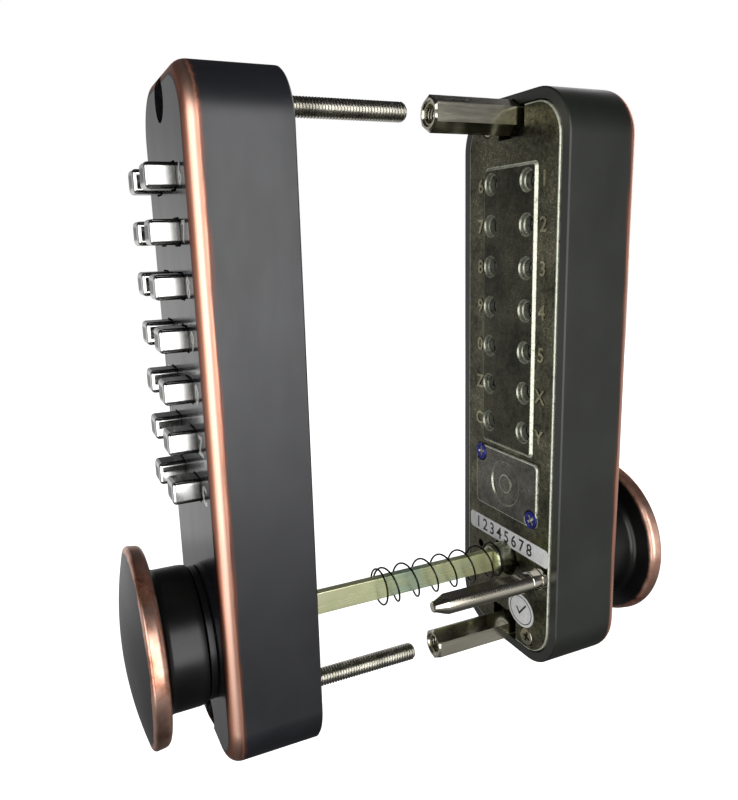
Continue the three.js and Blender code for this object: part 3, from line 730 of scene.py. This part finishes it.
plain_steel = steel_finish("plain_screw_steel", 0x8C8876, 0xCAC6B2, 0.3)
for side in ("indoor", "outdoor"):
    blue_lacquer = lacquer_finish(side)
    for number, place in enumerate(cover_screws, 1):
        screw = cross_head(f"{side}_blue_screw_{number}", side, cover_outer, place, 0.5 + number)
        fit(screw, blue_lacquer, f"{side}_half", "blue_lacquer", f"{side}_cover_screw_{number}")
    for number, place in enumerate(plate_screws, 1):
        screw = cross_head(f"{side}_plain_screw_{number}", side, plate_outer, place, 0.3 * number)
        fit(screw, plain_steel, f"{side}_half", "steel", f"{side}_plate_screw_{number}")

# ---------------------------------------------------------------------------------------------
# Buttons
# Fourteen chrome push buttons on each half. Each is one die casting: a cap with a polished
# edge and a brushed top, a flange that keeps it in the casing, and a hollow round tumbler.
# ---------------------------------------------------------------------------------------------
cap_level, cap_edge = case_depth + 6.4, 0.95
flange_level, flange_thick, flange_reach = 19.6, 1.4, 1.25
tumbler_radius, tumbler_bore, tumbler_end = 2.1, 1.2, 1.8
key_names = (("1", "2", "3", "4", "5", "x", "y"), ("6", "7", "8", "9", "0", "z", "c"))


def chrome_finish():
    """Bright chrome, polished where the polish attribute is 1 and brushed where it is 0."""
    material, tree, shader, place = finish("button_chrome")
    polish = add(tree, "ShaderNodeAttribute", attribute_name="polish").outputs["Fac"]
    brushed = grain(tree, place, 1300, 4, (1, 1, 0.12))
    smudge = grain(tree, place, 160, 3)
    tone = calc(tree, "MULTIPLY_ADD", brushed, 0.5, calc(tree, "MULTIPLY", smudge, 0.5))
    matt = ramp(tree, tone, (0.36, 0x3A3938), (0.64, 0x72706E))
    tree.links.new(mixed(tree, polish, matt, paint(0xDCDCDA)), shader.inputs["Base Color"])
    shader.inputs["Metallic"].default_value = 1.0
    rough = calc(tree, "MULTIPLY_ADD", brushed, 0.22, 0.16)
    tree.links.new(calc(tree, "MULTIPLY", rough, calc(tree, "MULTIPLY_ADD", polish, -0.75, 1)),
                   shader.inputs["Roughness"])
    bump(tree, shader, brushed, 0.12, 0.00003)
    return material


def button(name, side, centre):
    """One closed skin: the bore and wall of the tumbler, out to the flange, in to the cap, and
    over its edge. The polish attribute is 1 on the rings of the edge."""
    steps = 6
    count = 4 * (steps + 1)
    tube = turned([(tumbler_bore, tumbler_end + 3), (tumbler_bore, tumbler_end + 0.15),
                   (tumbler_bore + 0.15, tumbler_end),
                   (tumbler_radius - 0.2, tumbler_end), (tumbler_radius, tumbler_end + 0.2),
                   (tumbler_radius, flange_level - flange_thick)], centre, count)
    low = flange_level - flange_thick
    flange = round_frame([(0, low), (0, flange_level)], key_width + 2 * flange_reach,
                         key_height + 2 * flange_reach, 1.2, centre, steps)
    edge = rounding(0, cap_level - 0.12, cap_edge, 7)
    crown = [(cap_edge + 0.5, cap_level - 0.03), (cap_edge + 1.3, cap_level)]
    cap_profile = [(0, flange_level), (0, case_depth)] + edge + crown
    cap = round_frame(cap_profile, key_width, key_height, key_corner, centre, steps)
    cap[-1:, :, :2] = centre + 0.9 * (cap[-1:, :, :2] - centre)
    rings = np.concatenate([tube, flange, cap])
    made = skin(name, seat(side, rings))
    shine = np.zeros(len(rings))
    first = len(tube) + len(flange) + 2
    shine[first:first + len(edge)] = 1
    made.data.attributes.new("polish", "FLOAT", "POINT").data.foreach_set("value", np.repeat(shine, count))
    smooth(made, 50)
    return made


button_chrome = chrome_finish()
for side in ("indoor", "outdoor"):
    for x, names in zip((-key_across, key_across), key_names):
        for y, key in zip(row_heights, names):
            made = button(f"{side}_push_button_{key}", side, np.array((x, y)))
            fit(made, button_chrome, f"{side}_key_{key}", "chrome_button", f"{side}_button_{key}")

# ---------------------------------------------------------------------------------------------
# Legends
# Silver figures and letters on the face, outside the buttons, stamped and filled.
# ---------------------------------------------------------------------------------------------
legend_height, legend_across, legend_rise = 4.6, 15.4, 0.06
silver = steel_finish("legend_silver", 0xC4C4C0, 0xECECE6, 0.35)
silver.node_tree.nodes["Principled BSDF"].inputs["Metallic"].default_value = 0.4
for side in ("indoor", "outdoor"):
    letters = []
    for x, legends in ((legend_across, marks_right), (-legend_across, marks_left)):
        for y, legend in zip(row_heights, legends):
            points, faces = lettering(legend, legend_height, 1.0, 0.03)
            points[:, 0] += x
            points[:, 1] += y
            points[:, 2] = case_depth + legend_rise - points[:, 2] * (legend_rise + 0.05)
            letters.append((points, faces))
    figures = engraved(f"{side}_legends", side, letters)
    fit(figures, silver, f"{side}_half", "legend_silver")

# ---------------------------------------------------------------------------------------------
# Knobs and collars
# Cast knobs turned on a lathe, with a low dome and a thick rim that is worn down to copper,
# each on a thin black collar on the face of its casing.
# ---------------------------------------------------------------------------------------------
knob_radius, neck_radius = 24.2, 17.3
knob_foot, knob_back, knob_front, knob_top = 24.6, 34.0, 39.0, 41.8
collar_radius, collar_low, collar_thick = 16.4, 22.8, 1.5


def knob_finish(side):
    """Black with a copper rim. The rim is where the distance from the knob's axis passes
    22 mm, pushed about by brushing that runs round it."""
    material, tree, shader, place = finish(f"{side}_knob_bronze")
    centred = add(tree, "ShaderNodeMapping",
                  {"Vector": place, "Location": (0, 0, -knob_height / 1000)}).outputs[0]
    flat = add(tree, "ShaderNodeVectorMath", {0: centred, 1: (1, 0, 1)}, operation="MULTIPLY").outputs[0]
    radius = add(tree, "ShaderNodeVectorMath", {0: flat}, operation="LENGTH").outputs["Value"]
    depth = add(tree, "ShaderNodeSeparateXYZ", {0: place}).outputs["Y"]
    front_at = (rim_level[side] + toward[side][1] * knob_front) / 1000
    beyond = calc(tree, "MULTIPLY", calc(tree, "SUBTRACT", depth, front_at), float(toward[side][1]))
    smears = grain(tree, place, 90, 5)
    fine = grain(tree, place, 900, 3)
    wander = calc(tree, "MULTIPLY_ADD", smears, 0.0022, calc(tree, "MULTIPLY", fine, 0.0006))
    reach = calc(tree, "ADD", radius, wander)
    front_side = between(tree, reach, 0.0240, 0.0245)
    rear_side = between(tree, reach, 0.0238, 0.0258)
    is_front = between(tree, beyond, -0.0008, -0.0002)
    rubbed = calc(tree, "ADD", calc(tree, "MULTIPLY", front_side, is_front),
                  calc(tree, "MULTIPLY", rear_side, calc(tree, "SUBTRACT", 1, is_front)))
    metal = ramp(tree, smears, (0.3, copper_deep), (0.43, copper_mid), (0.56, copper_bright),
                 (0.75, copper_mid))
    lacquer = ramp(tree, grain(tree, place, 45, 4), (0.35, 0x111111), (0.7, 0x1B1A19))
    tree.links.new(mixed(tree, rubbed, lacquer, metal), shader.inputs["Base Color"])
    tree.links.new(rubbed, shader.inputs["Metallic"])
    tree.links.new(calc(tree, "MULTIPLY_ADD", smears, 0.2, 0.2), shader.inputs["Roughness"])
    shader.inputs["IOR"].default_value = 1.45
    bump(tree, shader, fine, 0.1, 0.00003)
    return material


knob_bore, bore_end = 6.3, 33.8
knob_profile = [(knob_bore, bore_end), (knob_bore, knob_foot), (neck_radius - 0.9, knob_foot),
                (neck_radius - 0.4, knob_foot + 0.2), (neck_radius - 0.2, knob_foot + 0.8),
                (neck_radius - 0.05, knob_foot + 2), (neck_radius, knob_back - 2.2)]
sweep = np.linspace(0, np.pi / 2, 8)
knob_profile += list(zip(neck_radius + 2.0 * (1 - np.cos(sweep)), knob_back - 1.6 + 1.9 * np.sin(sweep)))
quarter = np.linspace(0, np.pi / 2, 7)
knob_profile += list(zip(knob_radius - 1.7 + 1.5 * np.sin(quarter),
                         knob_back + 0.6 + 1.5 * (1 - np.cos(quarter))))
knob_profile += list(zip(knob_radius - 0.9 + 0.9 * np.cos(quarter),
                         knob_front - 1.3 + 0.9 * np.sin(quarter)))
dome = np.linspace(0.94, 0.0, 24)
knob_profile += list(zip(np.maximum(knob_radius * dome, 0.3),
                         knob_front - 0.3 + (knob_top - knob_front + 0.3) * (1 - (dome / 0.95) ** 2)))
collar_profile = [(collar_radius, collar_low), (collar_radius, collar_low + collar_thick - 0.25),
                  (collar_radius - 0.07, collar_low + collar_thick - 0.07),
                  (collar_radius - 0.25, collar_low + collar_thick)]
collar_bore = [(6.4, collar_low - 1), (6.4, collar_low + collar_thick + 1)]
for side in ("indoor", "outdoor"):
    knob = skin(f"{side}_turned_knob", seat(side, turned(knob_profile, (0, knob_height), 128)))
    smooth(knob, 40)
    bronze = knob_finish(side)
    fit(knob, bronze, f"{side}_knob_set", "bronze_knob", f"{side}_knob")
    collar = skin(f"{side}_collar", seat(side, turned(collar_profile, (0, knob_height), 96)))
    shape(collar, skin("bore", seat(side, turned(collar_bore, (0, knob_height), 48))))
    smooth(collar, 40)
    fit(collar, bronze, f"{side}_half", "bronze_case", f"{side}_knob_collar")

# ---------------------------------------------------------------------------------------------
# Hubs, lock slides and knob springs
# The zinc hub turns with the knob, carries a cam that lifts the steel lock slide, and is
# slotted for the spindle. A torsion spring round its shaft brings it back.
# ---------------------------------------------------------------------------------------------
nose_radius, cam_radius, cam_thick, hub_shaft = 4.5, 8.5, 4, 6.0
spindle_thick, spindle_wide, slot_play = 2.4, 6.2, 0.6
hub_zinc = steel_finish("hub_zinc", 0x6A6D58, 0xB6B8A0, 0.3)
slide_steel = steel_finish("slide_steel", 0x7C7A72, 0xB0AEA4, 0.35, (1, 1, 0.1))
spring_black = steel_finish("spring_wire", 0x1A1817, 0x3A3634, 0.3)
for side, nose_end in (("indoor", door_level + 0.1), ("outdoor", -5.9)):
    cam_low = plate_level + 0.6
    nose = [(2.2, nose_end + 0.1), (3.4, nose_end), (4.1, nose_end + 0.15), (nose_radius, nose_end + 0.6),
            (nose_radius, cam_low), (cam_radius, cam_low), (cam_radius, cam_low + cam_thick),
            (hub_shaft, cam_low + cam_thick), (hub_shaft, 33.2), (hub_shaft - 0.3, 33.5)]
    hub = skin(f"{side}_slotted_hub", seat(side, turned(nose, (0, knob_height), 64)))
    crank = round_frame([(0, cam_low), (0, cam_low + cam_thick)], 5, 10.6, 0.4, (0, knob_height + 5.3), 3)
    shape(hub, skin("crank", seat(side, crank)), "UNION")
    slot_size = (spindle_thick + slot_play, spindle_wide + slot_play, 0.2)
    slot = round_frame([(0, -10), (0, 40)], *slot_size, (0, knob_height), 2)
    shape(hub, skin("slot", seat(side, slot)))
    smooth(hub)
    fit(hub, hub_zinc, f"{side}_knob_set", "nickel", f"{side}_hub")
    for node, steel in ((f"{side}_lock_slide", slide_steel), (f"{side}_knob_spring", spring_black)):
        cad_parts[node].data.materials.clear()
        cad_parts[node].data.materials.append(steel)

# ---------------------------------------------------------------------------------------------
# Bolts
# Two M5 stainless socket-head screws that come through the door from the indoor casing, with
# a full thread and a chamfered tip.
# ---------------------------------------------------------------------------------------------
bolt_radius, thread_pitch, thread_depth = 2.45, 0.8, 0.42
bolt_tip, bolt_seat, head_radius_bolt, head_top = -37.0, 13.8, 4.2, 17.8
socket_radius, socket_floor = 2.35, 15.4


def thread(radius, low, high, centre, fade, sides=20):
    """Rings of a screw thread. Each ring climbs by one pitch round the axis, so that the crest
    follows the helix, and the radius dips by the depth as a wave with flattened crests. Near
    the two ends the rings level out and the radius draws in to a chamfer."""
    turns = (high - low) / thread_pitch
    rows = int(turns * sides)
    step = np.arange(rows + 1)[:, None]
    angle = np.arange(sides) * 2 * np.pi / sides
    along = step / rows * (high - low)
    phase = along / thread_pitch * 2 * np.pi - angle
    wave = np.clip(0.5 + 0.62 * np.cos(phase), 0, 1)
    reach = radius - thread_depth * (1 - wave)
    near_end = np.minimum(along, high - low - along)
    limit = radius - thread_depth * (1 - np.clip(near_end / fade, 0, 1)) * 1.3
    reach = np.minimum(reach, limit)
    x = centre[0] + reach * np.cos(angle)
    y = centre[1] + reach * np.sin(angle)
    return np.stack([x, y, low + along + 0 * x], -1)


stainless = steel_finish("stainless_bolt", 0xA8A59A, 0xDEDBD0, 0.26)
for name, y in zip(("upper", "lower"), end_heights):
    shank = thread(bolt_radius, bolt_tip, bolt_seat - 0.4, (0, y), 0.8)
    head = turned([(bolt_radius, bolt_seat - 0.2), (bolt_radius, bolt_seat),
                   (head_radius_bolt - 0.1, bolt_seat), (head_radius_bolt, bolt_seat + 0.15),
                   (head_radius_bolt, head_top - 0.5), (head_radius_bolt - 0.5, head_top)], (0, y), 20)
    bolt = skin(f"threaded_bolt_{name}", seat("indoor", np.concatenate([shank, head])))
    socket = turned([(socket_radius, socket_floor), (socket_radius, head_top + 1.2)], (0, y), 6)
    shape(bolt, skin("socket", seat("indoor", socket)))
    smooth(bolt, 75)
    fit(bolt, stainless, "indoor_half", "steel", f"bolt_{name}")

# ---------------------------------------------------------------------------------------------
# Sleeves
# Nickel-plated hexagon bars screwed to the outdoor casing, with corners chamfered at the free
# end and a thread inside for the bolts.
# ---------------------------------------------------------------------------------------------
sleeve_tip, sleeve_foot = -26.0, 2.0
sleeve_bore, sleeve_thread, mouth_depth, thread_end = 2.75, 3.0, 0.5, 8.5
nickel = steel_finish("sleeve_nickel", 0xB2AD9A, 0xE4DFCC, 0.17, (1, 0.08, 1))


def hexagon(profile, y):
    """Rings of a hexagonal bar with points up and down. Each ring has the radius of the hexagon
    in every direction, held to a circle of the given radius where that is smaller."""
    limit, level = np.array(profile, float).T[:, :, None]
    angle = np.linspace(0, 2 * np.pi, 96, endpoint=False)
    turn = (angle + np.pi / 6) % (np.pi / 3) - np.pi / 6
    reach = np.minimum(sleeve_flats / 2 / np.cos(turn), limit)
    return np.stack([reach * np.cos(angle), y + reach * np.sin(angle), level + 0 * reach], -1)


for name, y in zip(("upper", "lower"), end_heights):
    corner = sleeve_flats / sqrt(3)
    bar = hexagon([(corner, sleeve_foot), (corner, sleeve_tip + 0.45), (3.75, sleeve_tip)], y)
    sleeve = skin(f"hexagon_sleeve_{name}", seat("outdoor", bar))
    mouth = turned([(3.2, sleeve_tip - 1), (3.2, sleeve_tip), (sleeve_bore, sleeve_tip + mouth_depth)],
                   (0, y), 20)
    turns_inside = thread(sleeve_thread, sleeve_tip + mouth_depth, sleeve_tip + thread_end, (0, y), 0.01)
    clear = turned([(sleeve_bore, sleeve_tip + thread_end), (sleeve_bore, sleeve_foot + 1)], (0, y), 20)
    shape(sleeve, skin("threaded_bore", seat("outdoor", np.concatenate([mouth, turns_inside, clear]))))
    smooth(sleeve, 25)
    fit(sleeve, nickel, "outdoor_half", "nickel", f"sleeve_{name}")

# ---------------------------------------------------------------------------------------------
# Steady pin
# A polished pin riveted to the outdoor plate, which keeps the latch and the halves in line: a
# collar, a round shank, two long milled flats that run out in a curve, and a tapered tip.
# ---------------------------------------------------------------------------------------------
pin_radius, pin_reach, pin_flat = 2.8, -36.0, 2.2
pin_steel = steel_finish("pin_nickel", 0xCCC2AC, 0xF4EEDE, 0.13, (1, 0.05, 1))
pin_profile = [(0.9, pin_reach), (1.35, pin_reach + 0.15), (1.5, pin_reach + 0.45), (1.5, pin_reach + 0.8),
               (pin_radius, pin_reach + 4.2), (pin_radius, -5.2), (pin_radius - 0.12, -5.05),
               (pin_radius - 0.12, -4.85), (pin_radius, -4.7), (pin_radius, -1.9),
               (2.95, -1.9), (3.05, -1.75), (3.05, -0.7), (1.8, -0.7), (1.8, 2.5)]
pin = skin("steady_pin_turned", seat("outdoor", turned(pin_profile, (pin_across, knob_height), 64)))
run_out = np.linspace(0, np.pi / 2, 9)
for flat in (1, -1):
    rise = np.concatenate([[0, 0], 2.2 * (1 - np.cos(run_out[1:]))])
    levels = np.concatenate([[pin_reach - 1, -8.5], -8.5 + 3.0 * np.sin(run_out[1:])])
    near = knob_height + flat * (pin_flat + rise)
    far = np.full_like(levels, knob_height + flat * (pin_radius + 3))
    left, right_edge = pin_across - 4, pin_across + 4
    outline = ((left, near), (right_edge, near), (right_edge, far), (left, far))
    rings = np.stack([np.stack([np.full_like(levels, x), y, levels], -1) for x, y in outline], 1)
    shape(pin, skin("mill", seat("outdoor", rings)))
smooth(pin, 25)
fit(pin, pin_steel, "outdoor_half", "nickel", "steady_pin")

# ---------------------------------------------------------------------------------------------
# Spindle
# A flat steel bar, yellow passivated in bands of green and pale blue. It goes through the door
# and turns both hubs together.
# ---------------------------------------------------------------------------------------------
def spindle_finish():
    """Passivation colours in long bands down the bar, over bright metal."""
    material, tree, shader, place = finish("spindle_passivation")
    bands = grain(tree, place, 45, 3, (1, 1, 1.6))
    along = add(tree, "ShaderNodeSeparateXYZ", {0: place}).outputs["Y"]
    drift = calc(tree, "MULTIPLY_ADD", along, 8.0, bands)
    film = ramp(tree, drift, (0.3, 0xFCFADC), (0.5, 0xF6F6C6), (0.66, 0xE0EAB4), (0.8, 0xC2D8BE),
                (0.95, 0xE4E8B2))
    tree.links.new(film, shader.inputs["Base Color"])
    shader.inputs["Metallic"].default_value = 0.6
    scuffs = grain(tree, place, 800, 4, (1, 0.05, 1))
    tree.links.new(calc(tree, "MULTIPLY_ADD", scuffs, 0.2, 0.16), shader.inputs["Roughness"])
    bump(tree, shader, scuffs, 0.15, 0.00003)
    return material


spindle_low, spindle_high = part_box("spindle")
spindle_ends = [1000 * spindle_low[1], 1000 * spindle_high[1]]
bar = round_frame([(0.35, spindle_ends[0]), (0, spindle_ends[0] + 0.4), (0, spindle_ends[1] - 0.4),
                   (0.35, spindle_ends[1])],
                  spindle_thick, spindle_wide, 0.22, (0, knob_height), 3)[..., [0, 2, 1]] / 1000
spindle = skin("flat_spindle", bar)
smooth(spindle)
fit(spindle, spindle_finish(), "indoor_knob_set", "yellow_zinc", "spindle")

# ---------------------------------------------------------------------------------------------
# Spindle spring
# A light coil of black wire on the outdoor hub's nose, which holds the spindle in the indoor
# hub.
# ---------------------------------------------------------------------------------------------
coil_radius, wire_radius, coil_turns, end_turns = 5.0, 0.27, 8, 1.0


def coil(radius, wire, low, high, turns, closed, centre):
    """A round wire on a helix: a circle of the wire's radius carried along the helix, square to
    it. The pitch falls to a wire's width over the closed turns at both ends."""
    t = np.linspace(0, 1, int(turns * 40) + 1)
    count = t * turns
    pace = np.where((count < closed) | (count > turns - closed), 2.2 * wire, 0)
    free = (high - low - 2.2 * wire * 2 * closed) / (turns - 2 * closed)
    pace = np.where(pace == 0, free, pace)
    gain = np.concatenate([[0], np.cumsum((pace[1:] + pace[:-1]) / 2 * np.diff(count))])
    level = low + gain * (high - low) / gain[-1]
    angle = count * 2 * np.pi
    outward = np.stack([np.cos(angle), np.sin(angle), 0 * angle], -1)
    centre_line = np.stack([centre[0] + radius * np.cos(angle), centre[1] + radius * np.sin(angle), level],
                           -1)
    tangent = np.gradient(centre_line, axis=0)
    tangent /= np.linalg.norm(tangent, axis=1, keepdims=True)
    across = np.cross(tangent, outward)
    turn = np.linspace(0, 2 * np.pi, 10, endpoint=False)[:, None, None]
    rings = centre_line + wire * (np.cos(turn) * outward + np.sin(turn) * across)
    return rings.transpose(1, 0, 2)


spring_seat = -4.7
coils = coil(coil_radius, wire_radius, spring_seat - 38.5, spring_seat, coil_turns, end_turns,
             (0, knob_height))
spring = skin("coil_on_spindle", seat("outdoor", coils))
smooth(spring, 60)
fit(spring, spring_black, "outdoor_half", "spring_wire", "spindle_spring")
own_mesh(spring)

# ---------------------------------------------------------------------------------------------
# Labels
# Two paper labels on the outdoor plate: a strip with a run of figures, and an oval with a ring
# and a tick.
# ---------------------------------------------------------------------------------------------
label_thick, label_level = 0.08, plate_outer - 0.01
strip_width, strip_height, strip_corner, strip_middle = 38.8, 5.3, 1.3, (-0.6, -45.2)
ink_thick, ink_proud = 0.025, 0.03


def paper_finish(name, light, dark, rough):
    """Coated paper or printing ink, with a faint fibre in its tone and surface."""
    material, tree, shader, place = finish(name)
    fibre = grain(tree, place, 900, 4)
    tree.links.new(ramp(tree, fibre, (0.3, dark), (0.7, light)), shader.inputs["Base Color"])
    tree.links.new(calc(tree, "MULTIPLY_ADD", fibre, 0.15, rough), shader.inputs["Roughness"])
    bump(tree, shader, fibre, 0.1, 0.00002)
    return material


label_paper = paper_finish("label_paper", 0xF4F4F4, 0xDCDCDE, 0.4)
label_ink = paper_finish("label_ink", 0x1E1C1C, 0x121010, 0.5)
strip = round_frame([(0, label_level), (0, label_level - label_thick)], strip_width, strip_height,
                    strip_corner, strip_middle, 5)
strip_piece = skin("number_strip", seat("outdoor", strip))
fit(strip_piece, label_paper, "outdoor_half", "label_paper")
ink_level = label_level - label_thick
points, faces = lettering("12345678", 3.8, 1.0, 0.012, 1.42)
points[:, 0] = -points[:, 0] + 1.0
points[:, 1] += strip_middle[1]
points[:, 2] = ink_level - ink_proud + points[:, 2] * ink_thick
digits = engraved("strip_figures", "outdoor", [(points, [face[::-1] for face in faces])])
fit(digits, label_ink, "outdoor_half", "label_paper")
oval_centre, oval_half = np.array((-8.1, -65.6)), np.array((6.0, 5.0))
ink_levels = (ink_level - 0.005, ink_level - ink_proud)


def oval(scale, level):
    """A ring of the oval label's outline, drawn in or out by a scale."""
    angle = np.linspace(0, 2 * np.pi, 64, endpoint=False)
    x, y = (oval_centre[:, None] + scale * oval_half[:, None] * np.stack([np.cos(angle), np.sin(angle)]))
    return np.stack([x, y, np.full_like(x, level)], -1)


oval_piece = skin("oval_label",
                  seat("outdoor", np.stack([oval(1, label_level), oval(1, label_level - label_thick)])))
fit(oval_piece, label_paper, "outdoor_half", "label_paper")
band = skin("oval_ring", seat("outdoor", np.stack([oval(0.86, level) for level in ink_levels])))
shape(band, skin("band_inside",
                 seat("outdoor", np.stack([oval(0.81, ink_level + 0.2), oval(0.81, ink_level - 0.2)]))))
fit(band, label_ink, "outdoor_half", "label_paper")
tick_line = np.array([(-2.2, 0.2), (-0.6, -1.6), (2.6, 2.2), (2.2, 2.6), (-0.6, -0.7),
                      (-1.8, 0.7)]) * (-1, 1) + oval_centre
tick = np.stack([np.column_stack([tick_line, np.full(len(tick_line), level)]) for level in ink_levels])
tick_piece = skin("oval_tick", seat("outdoor", tick))
fit(tick_piece, label_ink, "outdoor_half", "label_paper")
